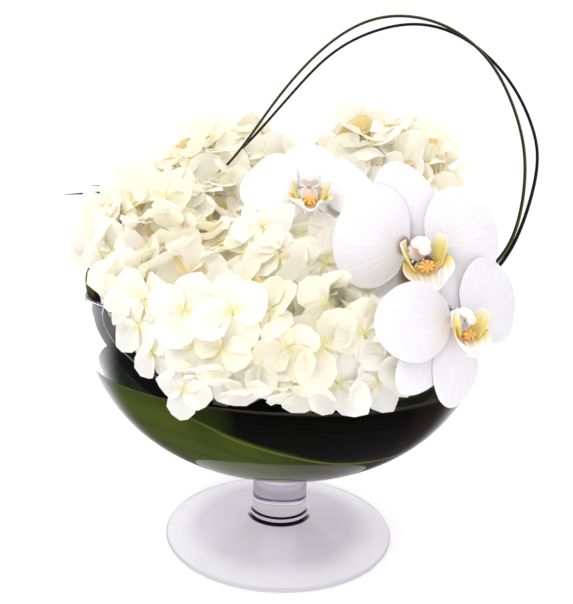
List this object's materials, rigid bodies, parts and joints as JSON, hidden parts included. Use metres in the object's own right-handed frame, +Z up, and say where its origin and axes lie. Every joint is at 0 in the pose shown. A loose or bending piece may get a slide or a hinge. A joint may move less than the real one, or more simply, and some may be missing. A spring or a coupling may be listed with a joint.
{
  "type": "floral table centerpiece",
  "caption": "Footed clear glass bowl lined with dark leaves, filled with white hydrangeas, white moth orchid blooms at one side and a tall loop of arching grass blades.",
  "frame": {"origin": "middle of the foot's flat underside, where the glass stands on the table", "axes": "+Z up; the front, where the orchids and the lowest hydrangea blossoms are, faces -Y; +X is the side of the orchids and of the grass loop"},
  "size_m": [0.308, 0.2555, 0.3358],
  "materials": {
    "clear_glass": "clear polished",
    "green_leaf": "waxy satin leaf",
    "bronze_leaf": "waxy satin leaf",
    "purple_leaf": "waxy satin leaf",
    "floral_foam": "matte wet foam",
    "hydrangea_petals": "soft matte petals",
    "green_stem": "satin stem",
    "orchid_petals": "velvety petals",
    "orchid_lip": "waxy satin lip",
    "grass": "satin blade"
  },
  "bodies": {
    "root": {"floral_foam": "floral_foam", "footed_glass_bowl": "clear_glass", "grass_blade_inner": "grass", "grass_blade_outer": "grass", "hydrangea_head_back_left": "hydrangea_petals", "hydrangea_head_back_right": "hydrangea_petals", "hydrangea_head_front": "hydrangea_petals", "hydrangea_head_left": "hydrangea_petals", "hydrangea_head_right": "hydrangea_petals", "hydrangea_stem_back_left": "green_stem", "hydrangea_stem_back_right": "green_stem", "hydrangea_stem_front": "green_stem", "hydrangea_stem_left": "green_stem", "hydrangea_stem_right": "green_stem", "lining_leaf_back": "green_leaf", "lining_leaf_front": "green_leaf", "lining_leaf_right": "bronze_leaf", "lower_orchid_column": "orchid_petals", "lower_orchid_left_petal": "orchid_petals", "lower_orchid_left_sepal": "orchid_petals", "lower_orchid_lip": "orchid_lip", "lower_orchid_right_petal": "orchid_petals", "lower_orchid_right_sepal": "orchid_petals", "lower_orchid_stem": "green_stem", "lower_orchid_top_sepal": "orchid_petals", "middle_orchid_column": "orchid_petals", "middle_orchid_left_petal": "orchid_petals", "middle_orchid_left_sepal": "orchid_petals", "middle_orchid_lip": "orchid_lip", "middle_orchid_right_petal": "orchid_petals", "middle_orchid_right_sepal": "orchid_petals", "middle_orchid_stem": "green_stem", "middle_orchid_top_sepal": "orchid_petals", "standing_leaf_green": "green_leaf", "standing_leaf_purple": "purple_leaf", "upper_orchid_column": "orchid_petals", "upper_orchid_left_petal": "orchid_petals", "upper_orchid_left_sepal": "orchid_petals", "upper_orchid_lip": "orchid_lip", "upper_orchid_right_petal": "orchid_petals", "upper_orchid_right_sepal": "orchid_petals", "upper_orchid_stem": "green_stem", "upper_orchid_top_sepal": "orchid_petals"}
  },
  "joints": []
}
